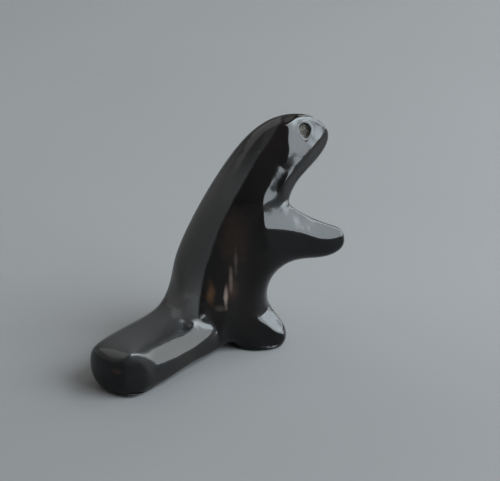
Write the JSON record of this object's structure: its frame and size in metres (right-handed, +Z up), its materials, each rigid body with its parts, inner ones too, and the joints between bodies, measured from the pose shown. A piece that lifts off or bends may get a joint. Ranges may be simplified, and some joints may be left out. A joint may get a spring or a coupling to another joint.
{
  "type": "beaver figurine",
  "caption": "Small one-piece clay beaver standing upright on its joined feet and thick paddle tail, joined forepaws held out and eyes poked in; a shelf ornament.",
  "frame": {"origin": "middle of the figure's bounding box, on the surface it stands on", "axes": "+X is the way the face, the forepaws and the feet point, +Z is up, and -Y is the figure's right side, to which its tail sweeps"},
  "size_m": [0.066, 0.0424, 0.0645],
  "materials": {
    "black_clay": "smoke-blackened clay, burnished to a gloss"
  },
  "bodies": {
    "root": {"beaver": "black_clay"}
  },
  "joints": []
}
